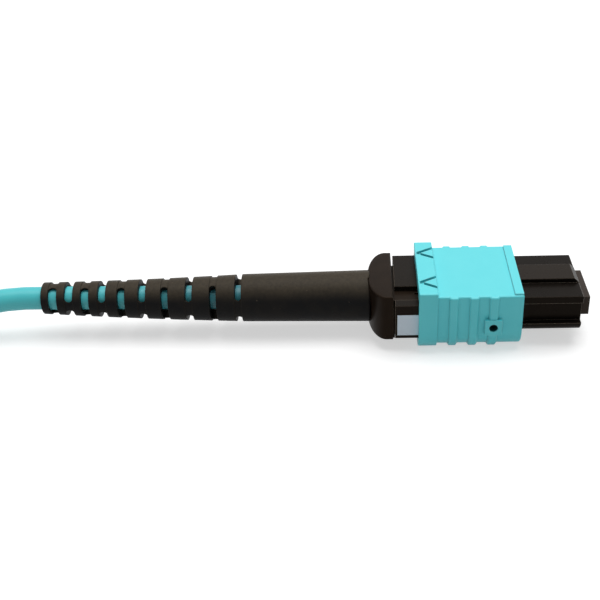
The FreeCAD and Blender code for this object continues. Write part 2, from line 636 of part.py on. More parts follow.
def boot_radius(x):
    """Outside radius of the boot at x."""
    if x > BOOT_PLAIN_REAR:
        share = (x - BOOT_PLAIN_REAR) / (BOOT_FRONT - BOOT_PLAIN_REAR)
        return BOOT_PLAIN_REAR_R + share * (BOOT_FRONT_R - BOOT_PLAIN_REAR_R)
    share = (x - BOOT_REAR) / (BOOT_PLAIN_REAR - BOOT_REAR)
    return BOOT_REAR_R + share * (BOOT_PLAIN_REAR_R - BOOT_REAR_R)


def window(centre, width, middle_angle):
    """Cutter for one window: a sector of a cylinder along X, with round ends."""
    reach = 2 * BOOT_FRONT_R
    outline = [V(0, 0, 0)]
    for step in range(-3, 4):
        angle = math.radians(middle_angle + step / 3 * SLOT_END_ANGLE)
        outline.append(V(0, reach * math.cos(angle), reach * math.sin(angle)))
    sector = Part.Face(Part.makePolygon(outline + outline[:1])).extrude(V(width, 0, 0))
    sector.translate(V(centre - width / 2, 0, 0))
    ends = [Part.makeCylinder(width / 2, reach, V(centre, 0, 0), out)
            for out in (outline[1], outline[-1])]
    return sector.fuse(ends)


def make_boot():
    ring_r = RING_BORE_R + RING_WALL + BOOT_BORE_GAP
    neck_r = CABLE_R + CRIMP_GAP + RING_WALL + BOOT_BORE_GAP
    bore_r = CABLE_R + BOOT_BORE_GAP
    body = turned([
        (BOOT_FRONT, 0), (BOOT_FRONT, BOOT_FRONT_R), (BOOT_PLAIN_REAR, BOOT_PLAIN_REAR_R),
        (BOOT_REAR, BOOT_REAR_R), (BOOT_REAR, 0)])
    lips = end_edges(body, BOOT_FRONT)
    body = body.makeFillet(BOOT_LIP_R, lips)
    body = body.makeFillet(BOOT_LIP_R / 2, end_edges(body, BOOT_REAR))
    ring_end = RING_REAR - BOOT_BORE_GAP
    cuts = [flange_plate(SEAT_GAP), turned([
        (BOOT_FRONT, 0), (BOOT_FRONT, ring_r), (RING_WIDE_REAR, ring_r),
        (RING_NARROW_FRONT, neck_r), (ring_end, neck_r), (ring_end, bore_r),
        (BOOT_REAR, bore_r), (BOOT_REAR, 0)])]
    centre = SLOT_FIRST
    count = len(SLOT_PITCHES) + 1
    for index in range(count):
        width = SLOT_WIDTH_REAR + (SLOT_WIDTH_FRONT - SLOT_WIDTH_REAR) * index / (count - 1)
        x0, x1 = centre - width / 2, centre + width / 2
        first_angle = 0 if index % 2 == 0 else 90
        for angle in (first_angle, first_angle + 180):
            cuts.append(window(centre, width, angle))
        bridge_r = boot_radius(centre) - BRIDGE_RECESS
        cuts.append(rod(x0, x1, 2 * BOOT_FRONT_R).cut(rod(x0, x1, bridge_r)))
        if index < len(SLOT_PITCHES):
            centre += SLOT_PITCHES[index]
    return one_solid(body.cut(cuts))


# ---------------------------------------------------------------- free cable

def rounded_path(route):
    """Straight runs joined by tangent arcs; each arc is as large as its runs allow."""
    points = [V(*p) for p in route]
    edges = []
    here = points[0]
    for before, corner, after in zip(points, points[1:], points[2:]):
        run_in, run_out = corner - before, after - corner
        turn = run_in.getAngle(run_out)
        radius = 0.45 * min(run_in.Length, run_out.Length) / math.tan(turn / 2)
        print("cable bend radius %.1f mm, turn %.0f degrees" % (radius, math.degrees(turn)))
        trim = radius * math.tan(turn / 2)
        toward = V(run_in).normalize()
        onward = V(run_out).normalize()
        start = corner - toward * trim
        end = corner + onward * trim
        inward = (onward - toward).normalize()
        middle = corner + inward * (radius / math.cos(turn / 2) - radius)
        edges.append(Part.makeLine(here, start))
        edges.append(Part.Arc(start, middle, end).toShape())
        here = end
    edges.append(Part.makeLine(here, points[-1]))
    return Part.Wire(edges)


def stadium(half_width, length, z0, z1, front):
    """Flat bar with full round ends, its front end at the given x."""
    straight = length - 2 * half_width
    rear_x = front - length + half_width
    bar = box(rear_x, rear_x + straight, HANK_Y - half_width, HANK_Y + half_width, z0, z1)
    ends = [Part.makeCylinder(half_width, z1 - z0, V(x, HANK_Y, z0))
            for x in (rear_x, rear_x + straight)]
    return one_solid(bar.fuse(ends))


def cap_place():
    """Rear end, y and z of the cap that closes the cable, on top of the hank's far run."""
    middle_x = HANK_FRONT - HANK_LENGTH / 2
    rear_x = middle_x + TIE_WIDTH / 2 + CAP_TIE_GAP
    return rear_x, HANK_Y + FOLD_R, LAYER_Z + (HANK_LAYERS - 1) * NEST


def make_cable_hank():
    """Outer form of the folded, tied turns."""
    outside = FOLD_R + CABLE_R
    inside = outside - HANK_NESTED * NEST
    z0 = FLOOR + TIE_THICKNESS
    z1 = z0 + HANK_LAYERS * NEST
    solid = stadium(outside, HANK_LENGTH, z0, z1, HANK_FRONT)
    rims = [e for e in solid.Edges
            if abs(e.CenterOfMass.z - z0) < 1e-6 or abs(e.CenterOfMass.z - z1) < 1e-6]
    solid = solid.makeFillet(HANK_EDGE_R, rims)
    margin = HANK_NESTED * NEST
    solid = solid.cut(stadium(inside, HANK_LENGTH - 2 * margin, z0 - 1, z1 + 1,
                              HANK_FRONT - margin))
    x, y, z = cap_place()
    notch = box(x, x + CAP_LENGTH, y - CAP_R, y + CAP_R + 1, z - CAP_R, z + CAP_R + 1)
    return one_solid(solid.cut(notch))


def make_cable_run(hank):
    path = rounded_path(ROUTE)
    start = V(*ROUTE[0])
    section = Part.Wire(Part.makeCircle(CABLE_R, start, X_AXIS))
    tube = path.makePipeShell([section], True, False)
    expected = math.pi * CABLE_R ** 2 * path.Length
    print("cable run volume %.2f, section times length %.2f" % (tube.Volume, expected))
    pieces = tube.cut(hank).Solids
    return max(pieces, key=lambda piece: piece.CenterOfMass.x)


def make_cable_end_cap():
    """Closed sleeve shrunk over the cable's cut end."""
    x, y, z = cap_place()
    cap = rod(x, x + CAP_LENGTH, CAP_R, y, z)
    return cap.makeFillet(CAP_EDGE_R, end_edges(cap, x + CAP_LENGTH))


def make_hank_tie():
    """Hook-and-loop strap round the middle of the hank."""
    middle_x = HANK_FRONT - HANK_LENGTH / 2
    x0, x1 = middle_x - TIE_WIDTH / 2, middle_x + TIE_WIDTH / 2
    inner_half = FOLD_R + CABLE_R
    z0 = FLOOR + TIE_THICKNESS
    z1 = z0 + HANK_LAYERS * NEST
    outer = rounded_section(x0, x1, 2 * (inner_half + TIE_THICKNESS), z1 + TIE_THICKNESS, FLOOR,
                            HANK_EDGE_R + TIE_THICKNESS, HANK_EDGE_R + TIE_THICKNESS)
    inner = rounded_section(x0, x1, 2 * inner_half, z1, z0, HANK_EDGE_R, HANK_EDGE_R)
    tie = outer.cut(inner)
    tie.translate(V(0, HANK_Y, 0))
    return tie


def main():
    hank = make_cable_hank()
    nodes = {
        "ferrule": make_ferrule(),
        "ferrule_epoxy": make_ferrule_epoxy(),
        "fibre_ribbon": make_fibre_ribbon(),
        "ferrule_boot": make_ferrule_boot(),
        "pin_clamp": make_pin_clamp(),
        "ferrule_spring": make_ferrule_spring(),
        "inner_housing": make_inner_housing(),
        "polarity_mark": make_polarity_mark(),
        "outer_housing": make_outer_housing(),
        "coupling_spring_near": make_coupling_spring(-1),
        "coupling_spring_far": make_coupling_spring(1),
        "rear_body": make_rear_body(),
        "crimp_ring": make_crimp_ring(),
        "aramid_yarn": make_aramid_yarn(),
        "cable_jacket_end": make_cable_jacket_end(),
        "boot": make_boot(),
        "cable_run": make_cable_run(hank),
        "cable_hank": hank,
        "hank_tie": make_hank_tie(),
        "cable_end_cap": make_cable_end_cap(),
    }
    os.makedirs("parts", exist_ok=True)
    for name, shape in nodes.items():
        size = shape.BoundBox
        print("%-22s solids %d valid %s volume %9.3f  x %8.2f %7.2f  y %6.2f %6.2f  z %6.2f %6.2f"
              % (name, len(shape.Solids), shape.isValid(), shape.Volume, size.XMin, size.XMax,
                 size.YMin, size.YMax, size.ZMin, size.ZMax))
        shape.exportStep("parts/" + name + ".step")


main()
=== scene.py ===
# %% [markdown]
# # A push-pull plug for twelve fibres, and its cable
# The connector is a few dark moulded parts, an aqua sleeve that slides on them, a slotted
# rubber boot and a round cable.  The solids come from a CAD model, which is loaded as a fixed
# frame.  Each cell below explains one piece or one finish and then makes it.

# %% Start
import json
import math

import bmesh
import bpy
from mathutils import Matrix, Vector


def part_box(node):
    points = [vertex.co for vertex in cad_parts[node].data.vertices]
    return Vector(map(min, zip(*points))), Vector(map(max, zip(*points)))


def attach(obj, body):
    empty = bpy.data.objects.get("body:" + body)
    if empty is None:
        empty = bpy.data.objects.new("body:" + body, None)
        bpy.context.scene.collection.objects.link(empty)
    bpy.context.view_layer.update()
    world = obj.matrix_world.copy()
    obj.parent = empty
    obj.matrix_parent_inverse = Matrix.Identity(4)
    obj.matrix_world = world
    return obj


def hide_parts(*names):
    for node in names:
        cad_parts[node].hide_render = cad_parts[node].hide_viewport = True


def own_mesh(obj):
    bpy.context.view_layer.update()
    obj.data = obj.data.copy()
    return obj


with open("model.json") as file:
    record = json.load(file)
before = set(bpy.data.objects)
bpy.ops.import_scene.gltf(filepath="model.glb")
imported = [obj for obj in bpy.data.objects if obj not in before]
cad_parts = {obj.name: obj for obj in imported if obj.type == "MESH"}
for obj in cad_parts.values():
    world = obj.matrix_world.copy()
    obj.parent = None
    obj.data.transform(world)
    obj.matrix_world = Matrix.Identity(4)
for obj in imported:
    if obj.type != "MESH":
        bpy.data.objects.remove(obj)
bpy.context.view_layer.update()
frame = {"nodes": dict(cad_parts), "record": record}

MM = 0.001

# %% [markdown]
# ## Camera
# A product view from the key side, a little above.  The camera is placed by azimuth,
# elevation and roll, so that its three angles can be read and changed one at a time.

# %% Camera
CAMERA_PLACE = Vector((-28.146, -110.414, 69.276)) * MM
CAMERA_ANGLES = (-4.00, 32.23, -3.12)       # azimuth, elevation, roll, in degrees
CAMERA_LENS, SENSOR_WIDTH = 61.24, 36       # in mm
CLIP_NEAR, CLIP_FAR = 0.005, 10             # in metres


def camera_axes(azimuth, elevation, roll):
    """Rotation of a camera that looks along +Y at azimuth 0 and down by the elevation."""
    turn, drop, tilt = (math.radians(angle) for angle in (azimuth, elevation, roll))
    forward = Vector((math.sin(turn) * math.cos(drop), math.cos(turn) * math.cos(drop),
                      -math.sin(drop)))
    level = forward.cross(Vector((0, 0, 1))).normalized()
    upright = level.cross(forward)
    right = math.cos(tilt) * level + math.sin(tilt) * upright
    up = math.cos(tilt) * upright - math.sin(tilt) * level
    return Matrix((right, up, -forward)).transposed().to_4x4()


camera_data = bpy.data.cameras.new("camera")
camera_data.sensor_width = SENSOR_WIDTH
camera_data.lens = CAMERA_LENS
camera_data.clip_start, camera_data.clip_end = CLIP_NEAR, CLIP_FAR
camera = bpy.data.objects.new("camera", camera_data)
camera.matrix_world = Matrix.Translation(CAMERA_PLACE) @ camera_axes(*CAMERA_ANGLES)
bpy.context.scene.collection.objects.link(camera)
bpy.context.scene.camera = camera
print("camera", [round(value / MM, 1) for value in CAMERA_PLACE], "mm")

# %% [markdown]
# ## The cable's line
# The pigtail is a metre long.  What doesn't lie straight behind the boot is folded into a
# hank of two turns side by side and four layers.  One NURBS spline carries it all: a few
# points listed down to the floor, then points worked out turn by turn.  A quadratic spline
# touches the middle of each leg of its control polygon, so points set outside an arc by
# 1 / cos(half a step) put the curve on the arc.

# %% Cable line
CABLE_R = 1.5 * MM
CABLE_FACETS = 6                            # how finely the line and its round are divided
BOOT_MOUTH, MOUTH_LIFT = -68.95, 0.45       # the boot bends up a little towards its mouth
LAYER_Z = -2.67                             # the lowest layer of the hank
LAYER_RISE = 3.0                            # one cable's thickness
ROUTE = [(BOOT_MOUTH, 0, MOUTH_LIFT), (-77.1, 0, 0.77), (-86.0, -4.75, LAYER_Z),
         (-94.0, -4.75, LAYER_Z)]
HANK_Y = 7.25                               # the hank's middle line
FOLD_FRONT, FOLD_REAR = -97.5, -126.5       # centres of the hank's two folds
FOLD_STEPS = 8                              # control points in a fold
LINE_END = -98.5                            # where the cable goes into its end cap
OUTER, INNER = 12, 9                        # fold radii of the two turns in a layer
TURNS = [(OUTER, 0), (INNER, 0), (INNER, 1), (OUTER, 1),
         (OUTER, 2), (INNER, 2), (INNER, 3), (OUTER, 3)]
CLIMB_BULGE = 1.3                           # a climbing turn swings out to clear the next


def fold_steps():
    """Middle angle of each step of a half turn."""
    return [math.pi * (step + 0.5) / FOLD_STEPS for step in range(FOLD_STEPS)]


def run_points(y, z, x_from, x_to):
    """Two points that hold a straight run between two folds."""
    return [(x_from + (x_to - x_from) * share, y, z) for share in (1 / 3, 2 / 3)]


def hank_points():
    """Control points of every turn, in mm."""
    outside = 1 / math.cos(math.pi / (2 * FOLD_STEPS))
    points = []
    for index, (radius, layer) in enumerate(TURNS):
        z = LAYER_Z + layer * LAYER_RISE
        points += run_points(HANK_Y - radius, z, FOLD_FRONT, FOLD_REAR)
        for angle in fold_steps():
            reach = radius * outside
            points.append((FOLD_REAR - reach * math.sin(angle),
                           HANK_Y - reach * math.cos(angle), z))
        if index == len(TURNS) - 1:
            points += run_points(HANK_Y + radius, z, FOLD_REAR, LINE_END)
            points.append((LINE_END, HANK_Y + radius, z))
            break
        points += run_points(HANK_Y + radius, z, FOLD_REAR, FOLD_FRONT)
        next_radius, next_layer = TURNS[index + 1]
        climbs = next_layer != layer
        side = -1 if radius == INNER else 1
        for angle in fold_steps():
            share = (1 - math.cos(angle)) / 2
            bulge = side * CLIMB_BULGE * 4 * share * (1 - share) if climbs else 0
            reach = (radius + (next_radius - radius) * share + bulge) * outside
            points.append((FOLD_FRONT + reach * math.sin(angle),
                           HANK_Y + reach * math.cos(angle),
                           z + (next_layer - layer) * share * LAYER_RISE))
    return points


line_points = ROUTE + hank_points()
cable_data = bpy.data.curves.new("cable", "CURVE")
cable_data.dimensions = "3D"
spline = cable_data.splines.new("NURBS")
spline.points.add(len(line_points) - 1)
for point, place in zip(spline.points, line_points):
    point.co = (*(value * MM for value in place), 1)
spline.order_u = 3
spline.use_endpoint_u = True
spline.resolution_u = CABLE_FACETS
cable_data.bevel_depth = CABLE_R
cable_data.bevel_resolution = CABLE_FACETS
cable_data.use_fill_caps = True
cable = bpy.data.objects.new("cable", cable_data)
bpy.context.scene.collection.objects.link(cable)
print("cable points", len(line_points), "length %.3f m" % spline.calc_length())

# %% [markdown]
# ## Node maths in Python
# Finishes and rules are easier to read as arithmetic than as a web of nodes.  `Wire` wraps a
# node's output: an operator on it adds the Math node that does the sum.  `Graph` holds one
# node tree, and its `node` method adds any node from its type, its settings and its inputs.

# %% Wires and graphs


class Wire:
    """The output of a node.  Arithmetic on it adds Math nodes."""

    def __init__(self, graph, socket):
        self.graph, self.socket = graph, socket

    def __add__(self, other):
        return self.graph.sum("ADD", self, other)

    def __radd__(self, other):
        return self.graph.sum("ADD", other, self)

    def __sub__(self, other):
        return self.graph.sum("SUBTRACT", self, other)

    def __rsub__(self, other):
        return self.graph.sum("SUBTRACT", other, self)

    def __mul__(self, other):
        return self.graph.sum("MULTIPLY", self, other)

    def __rmul__(self, other):
        return self.graph.sum("MULTIPLY", other, self)

    def __truediv__(self, other):
        return self.graph.sum("DIVIDE", self, other)

    def __pow__(self, other):
        return self.graph.sum("POWER", self, other)


class Graph:
    """A node tree and the short ways to add to it."""

    def __init__(self, tree):
        self.tree = tree

    def node(self, kind, settings=None, inputs=None, out=0):
        """Adds a node: its settings first, then a value or a link for each named input."""
        made = self.tree.nodes.new(kind)
        for key, value in (settings or {}).items():
            setattr(made, key, value)
        for key, value in (inputs or {}).items():
            if isinstance(value, Wire):
                self.tree.links.new(value.socket, made.inputs[key])
            else:
                made.inputs[key].default_value = value
        return Wire(self, made.outputs[out])

    def sum(self, operation, *values):
        """One Math node."""
        return self.node("ShaderNodeMath", {"operation": operation},
                         dict(enumerate(values)))

    def backdrop_rays(self):
        """1 for a ray that should find the backdrop white: straight, mirrored or through."""
        kinds = ("Is Camera Ray", "Is Glossy Ray", "Is Transmission Ray")
        first, second, third = (self.node("ShaderNodeLightPath", out=kind) for kind in kinds)
        return self.sum("MAXIMUM", self.sum("MAXIMUM", first, second), third)


EDGE_TURN = (0.01, 0.18)    # how far a rounded normal has turned from the true one


class Finish(Graph):
    """A material with one Principled shader, for one of the record's material slots."""

    def __init__(self, slot, **constants):
        self.slot = slot
        self.material = bpy.data.materials.new(slot + "_finish")
        self.material.use_nodes = True
        super().__init__(self.material.node_tree)
        self.tree.nodes.clear()
        self.shader = self.tree.nodes.new("ShaderNodeBsdfPrincipled")
        out = self.tree.nodes.new("ShaderNodeOutputMaterial")
        self.tree.links.new(self.shader.outputs[0], out.inputs["Surface"])
        for socket, value in constants.items():
            self.shader.inputs[socket.replace("_", " ")].default_value = value

    def feed(self, name, wire):
        """Sends a wire into the shader."""
        self.tree.links.new(wire.socket, self.shader.inputs[name])

    def place(self, scale=(1, 1, 1)):
        """Object coordinates, stretched by the scale."""
        here = self.node("ShaderNodeTexCoord", out="Object")
        return self.node("ShaderNodeMapping", None, {"Vector": here, "Scale": scale})

    def noise(self, grain_mm, detail=3, stretch=(1, 1, 1), rough=0.5):
        """Noise from 0 to 1 whose blobs are about grain_mm across."""
        return self.node("ShaderNodeTexNoise", None,
                         {"Vector": self.place(stretch), "Scale": 1 / (grain_mm * MM),
                          "Detail": detail, "Roughness": rough})

    def between(self, value, low, high):
        """The value's range low to high stretched smoothly to 0 to 1."""
        return self.node("ShaderNodeMapRange", {"interpolation_type": "SMOOTHSTEP"},
                         {"Value": value, "From Min": low, "From Max": high})

    def mixed(self, share, first, second):
        """A colour between two."""
        colours = {key: (*value, 1) if isinstance(value, tuple) else value
                   for key, value in ((6, first), (7, second))}
        return self.node("ShaderNodeMix", {"data_type": "RGBA"}, {0: share, **colours}, out=2)

    def edges(self, radius_mm):
        """(normals rounded over the edges, how much of an edge a spot is)."""
        soft = self.node("ShaderNodeBevel", {"samples": 6}, {"Radius": radius_mm * MM})
        true = self.node("ShaderNodeNewGeometry", out="Normal")
        aligned = self.node("ShaderNodeVectorMath", {"operation": "DOT_PRODUCT"},
                            {0: soft, 1: true}, out="Value")
        return soft, self.between(1 - aligned, *EDGE_TURN)

    def hollow(self, reach_mm):
        """How much a spot is shut in by the piece's own walls, from 0 in the open to 1."""
        sky = self.node("ShaderNodeAmbientOcclusion", {"samples": 8, "only_local": True},
                        {"Distance": reach_mm * MM}, out="AO")
        return 1 - sky

    def upward(self):
        """How much a surface faces up, from -1 to 1."""
        facing = self.node("ShaderNodeNewGeometry", out="Normal")
        return self.node("ShaderNodeSeparateXYZ", None, {0: facing}, out="Z")

    def height(self, axis="Z"):
        """One of the object coordinates."""
        return self.node("ShaderNodeSeparateXYZ", None, {0: self.place()}, out=axis)

    def relief(self, height, depth_mm, normal=None):
        """Bump from a height, sent to the shader's normal."""
        inputs = {"Height": height, "Distance": depth_mm * MM, "Strength": 1.0}
        if normal is not None:
            inputs["Normal"] = normal
        self.feed("Normal", self.node("ShaderNodeBump", None, inputs))


print("node maths ready")

# %% [markdown]
# ## Moulded plastic
# The plug's hard parts are satin engineering plastics.  A steel mould leaves a fine, even
# grain, the flow leaves faint clouds in the colour, and handling polishes the edges a little
# lighter; the lighter edges are also a painted highlight.  Every moulded part uses this one
# recipe.  The Bevel node finds the edges, and the Ambient Occlusion node finds the corners
# and holes that light hardly reaches, which are painted darker: painted shade.

# %% Moulded plastic
CLOUD_MM, SPECK_MM = 2.4, 0.35              # blobs of the colour's clouds and of the dull specks
WALL_REACH_MM = 0.8                         # how near a wall has to be to shade a spot
# The corner and pit thresholds and the last two factors make the painted shade in corners and
# pits.
CORNER_SHUT, PIT_SHUT = (0.2, 0.75), (0.58, 0.78)   # how shut in a corner is, and a pit
RUBBED, CORNER_SHADE_FACTOR, PIT_SHADE_FACTOR = 2.4, 0.3, 0.03    # what each does to the deeper colour


def moulded(name, colour, deep, grain_mm, grain_depth_mm, edge_wear_highlight_colour, edge_wear_highlight_share, rough,
            edge_mm=0.09, cloud=0.35, shade=0.85, rubbed=None, pit_shade_by_place=None, **constants):
    """Plastic from a mould: clouded colour, fine grain, edges lighter from wear and painted
    highlight, painted shade in corners and pits.
    """
    made = Finish(name, **constants)
    clouds = made.noise(CLOUD_MM, 4)
    grain = made.noise(grain_mm, 2)
    specks = made.between(made.noise(SPECK_MM, 2), 0.62, 0.72)
    normal, edge = made.edges(edge_mm)
    body = made.mixed(made.between(clouds, 0.3, 0.7) * cloud, colour, deep)
    if rubbed:
        body = made.mixed(rubbed(made), body, tuple(RUBBED * part for part in deep))
    # Edges go lighter: partly handling wear, partly a painted highlight.
    edge_wear_and_highlight = made.mixed(edge * edge_wear_highlight_share, body, edge_wear_highlight_colour)
    # Painted shade: corners and pits shut in by the piece's own walls are painted darker.
    shut_in = made.hollow(WALL_REACH_MM)
    corner_shade_mask = made.between(shut_in, *CORNER_SHUT) * shade
    corner_shaded = made.mixed(corner_shade_mask, edge_wear_and_highlight, tuple(part * part * CORNER_SHADE_FACTOR for part in deep))
    pit_shade_mask = pit_shade_by_place(made) if pit_shade_by_place else made.between(shut_in, *PIT_SHUT)
    pit_shade_colour = tuple(part * part * PIT_SHADE_FACTOR for part in deep)
    made.feed("Base Color", made.mixed(pit_shade_mask, corner_shaded, pit_shade_colour))
    made.feed("Roughness", rough + (clouds - 0.5) * 0.12 + specks * 0.06 - edge * 0.05)
    made.relief(grain, grain_depth_mm, normal)
    return made


print("moulded plastic: clouds of %.1f mm, shade within %.1f mm" % (CLOUD_MM, WALL_REACH_MM))

# %% [markdown]
# ## The sleeve's colour and its painted shade
# The sleeve has a hole in the pad on each side, which a pin in the mould leaves.  It is so
# deep and narrow that it looks nearly black, so its inside is found by its place and
# painted dark: painted shade.  The shallow grooves of the arrows only get the softer painted
# shade of a corner.

# %% Aqua plastic
CORE_HOLE_X, CORE_HOLE_Z = -12.05, -0.86    # middle of the hole in each side pad
CORE_HOLE_SQUARES = (0.30, 0.34)            # squares of two radii round the hole's 0.53 mm
CORE_HOLE_DEPTHS = (6.35, 6.65)             # from dark to light, measured from the middle


def core_hole_shade(made):
    """Painted shade inside the two core holes, which hardly any light reaches."""
    along = made.height("X") / MM - CORE_HOLE_X
    up = made.height("Z") / MM - CORE_HOLE_Z
    outside = made.between(along * along + up * up, *CORE_HOLE_SQUARES)
    sideways = made.sum("ABSOLUTE", made.height("Y") / MM)
    shallow = made.between(sideways, *CORE_HOLE_DEPTHS)
    return (1 - outside) * (1 - shallow) * 0.9


# The edge colour is partly handling wear and partly a painted highlight; the core holes get
# painted shade.
aqua = moulded("aqua_plastic", colour=(0.108, 0.705, 0.765), deep=(0.090, 0.665, 0.730),
               grain_mm=0.06, grain_depth_mm=0.0022, edge_wear_highlight_colour=(0.30, 0.86, 0.89),
               edge_wear_highlight_share=0.9, rough=0.42, shade=0.6, pit_shade_by_place=core_hole_shade,
               Specular_IOR_Level=0.55)
print("aqua plastic", len(aqua.tree.nodes), "nodes")

# %% [markdown]
# ## Dark plastics
# The inner frame, the rear body and the clamp are black polyester: the same recipe as the
# sleeve with other numbers.  The inner frame is the shiniest and darkest, except where hands
# and adapters rub it grey.  The ferrule is filled with glass, so its grain is closer and
# deeper.  These blacks mirror a room a little warmer than it is, which a tint on their
# reflections gives.

# %% Dark plastics
KEY_TOP_Z = (2.95, 3.05)                    # the rubbed top of the key starts between these
BLOCK_X = (20.2, 20.9)                      # how far behind the end face the block starts
BLOCK_RUB = 0.35                            # the block is rubbed less than the key


def housing_rub(made):
    """Where hands and adapters rub the inner housing: the key's top and the rear block."""
    on_key = made.between(made.height("Z"), *(z * MM for z in KEY_TOP_Z))
    on_block = made.between(made.height("X") * -1.0, *(x * MM for x in BLOCK_X)) * BLOCK_RUB
    return made.sum("MAXIMUM", on_key, on_block)


WARM_SHEEN = (1.0, 0.76, 0.56, 1)           # tint of the blacks' reflections
# The edge colours below are partly handling wear and partly a painted highlight.
black = moulded("black_plastic", colour=(0.0125, 0.0080, 0.0054),
                deep=(0.0190, 0.0120, 0.0080), grain_mm=0.07, grain_depth_mm=0.0025,
                edge_wear_highlight_colour=(0.20, 0.155, 0.115), edge_wear_highlight_share=0.6, rough=0.33, cloud=0.6,
                Specular_IOR_Level=0.05, Specular_Tint=WARM_SHEEN)
housing_black = moulded("black_plastic", colour=(0.0060, 0.0047, 0.0039),
                        deep=(0.0085, 0.0068, 0.0055), grain_mm=0.07, grain_depth_mm=0.0025,
                        edge_wear_highlight_colour=(0.30, 0.25, 0.20), edge_wear_highlight_share=0.8, rough=0.28,
                        edge_mm=0.12, cloud=0.6, rubbed=housing_rub,
                        Specular_IOR_Level=0.05, Specular_Tint=WARM_SHEEN)
ferrule_finish = moulded("ferrule_plastic", colour=(0.036, 0.028, 0.024),
                         deep=(0.049, 0.039, 0.033), grain_mm=0.05, grain_depth_mm=0.003,
                         edge_wear_highlight_colour=(0.22, 0.19, 0.15), edge_wear_highlight_share=0.5, rough=0.34,
                         Specular_IOR_Level=0.1, Specular_Tint=WARM_SHEEN)
print("dark plastics", [made.material.name for made in (black, housing_black, ferrule_finish)])

# %% [markdown]
# ## Rubber
# The boot is a soft rubber, which is greyer and duller than the plastics.  What faces up
# is painted paler and warmer, partly dust and partly painted light from above, and the edges
# are paler from wear and a painted highlight.  Rubbing leaves pale scuffs along the part, and
# a few spots are nicked.

# %% Rubber
HAZE_MM, PIT_MM, MOTTLE_MM = 1.8, 0.09, 0.45
SCUFF_MM, SCUFF_STRETCH = 0.5, (0.35, 1, 1)     # scuffs are drawn out along X
NICK_MM = 0.6
RUBBER_EDGE_MM = 0.24


def rubber(name, colour, pale, rough):
    """Soft rubber: dull, with fine pits, dust and painted light on top, edges paler from wear and
    a painted highlight, and a few pale scuffs and nicks.
    """
    made = Finish(name, Specular_IOR_Level=0.06)
    haze = made.noise(HAZE_MM, 4)
    pits = made.noise(PIT_MM, 3)
    mottle = made.noise(MOTTLE_MM, 5, rough=0.7)
    scuffs = made.between(made.noise(SCUFF_MM, 5, SCUFF_STRETCH, 0.7), 0.60, 0.78)
    nicks = made.between(made.noise(NICK_MM, 2), 0.72, 0.78)
    normal, edge = made.edges(RUBBER_EDGE_MM)
    # Painted light from above, with dust: what faces up is painted paler and warmer.
    dust_and_top_light = made.between(made.upward(), 0.30, 0.95) * (0.25 + mottle * 0.95)
    body = made.mixed(made.between(haze, 0.3, 0.75) * 0.10 + scuffs * 0.15 + dust_and_top_light,
                      colour, pale)
    # Edges go paler: partly wear, partly a painted highlight.
    edge_wear_and_highlight = made.mixed(edge * 0.3, body, pale)
    made.feed("Base Color", made.mixed(nicks * 0.4, edge_wear_and_highlight, tuple(2.2 * part for part in pale)))
    made.feed("Roughness", rough + (haze - 0.5) * 0.16 + scuffs * 0.1)
    made.relief(pits, 0.006, normal)
    return made


# The pale colour is warm brown: the colour of dust and of the painted light on top.
boot_finish = rubber("boot_rubber", (0.0070, 0.0070, 0.0074), (0.061, 0.049, 0.034), 0.45)
cap_finish = rubber("end_cap", (0.015, 0.015, 0.016), (0.05, 0.05, 0.052), 0.36)
print("rubber", len(boot_finish.tree.nodes), "nodes")

# %% [markdown]
# ## Metal
# The springs are drawn wire and the crimp ring is turned from tube.  Both keep fine lines
# from the tool, so one recipe stretches a noise along the lines or leaves it even.

# %% Metal


def metal(name, colour, rough, stretch):
    """Drawn or turned metal: fine lines in the roughness and the relief."""
    made = Finish(name, Metallic=1.0)
    lines = made.noise(0.05, 3, stretch)
    stain = made.noise(1.2, 3)
    made.feed("Base Color", made.mixed(stain * 0.5, colour, tuple(0.7 * c for c in colour)))
    made.feed("Roughness", rough + (lines - 0.5) * 0.2 + (stain - 0.5) * 0.1)
    made.relief(lines, 0.002)
    return made


spring_finish = metal("spring_steel", (0.62, 0.61, 0.60), 0.30, (1, 1, 1))
crimp_finish = metal("crimp_metal", (0.74, 0.74, 0.76), 0.32, (6, 0.4, 0.4))
print("metals", spring_finish.slot, crimp_finish.slot)

# %% [markdown]
# ## Cable jacket
# The jacket is extruded: satin, even, and a little hazy, with marks from handling.  The end
# that runs inside the boot has the same jacket, seen through windows, and its colour is
# painted darker towards the front, where the boot's wall is thick: painted shade.

# %% Cable jacket
JACKET, JACKET_DEEP = (0.075, 0.58, 0.62), (0.060, 0.51, 0.56)
# The last colour is the painted shade of the jacket inside the boot.
JACKET_MARK, JACKET_SHADE_COLOUR = (0.14, 0.52, 0.54), (0.012, 0.13, 0.18)
WINDOWS_REAR, WINDOWS_FRONT = -66, -44      # the boot's windows along X
FRONT_SHADE = 0.75


def jacket(name, painted_shade=None):
    """Extruded cable jacket: satin, with handling marks, and with painted shade where it is told.
    """
    made = Finish(name)
    haze = made.noise(3.0, 3)
    fine = made.noise(0.12, 3)
    marks = made.between(made.noise(0.8, 5), 0.62, 0.80)
    body = made.mixed(made.between(haze, 0.3, 0.7) * 0.4, JACKET, JACKET_DEEP)
    surface = made.mixed(marks * 0.25, body, JACKET_MARK)
    # Painted shade, where a mask for it is given.
    if painted_shade:
        surface = made.mixed(painted_shade(made), surface, JACKET_SHADE_COLOUR)
    made.feed("Base Color", surface)
    made.feed("Roughness", 0.42 + (haze - 0.5) * 0.15 + marks * 0.1)
    made.relief(fine, 0.003)
    return made


def boot_shade_on_jacket(made):
    """Painted shade: the boot's wall gets thicker towards the front, so the jacket is painted
    darker there.
    """
    along = made.between(made.height("X"), WINDOWS_REAR * MM, WINDOWS_FRONT * MM)
    return along * FRONT_SHADE


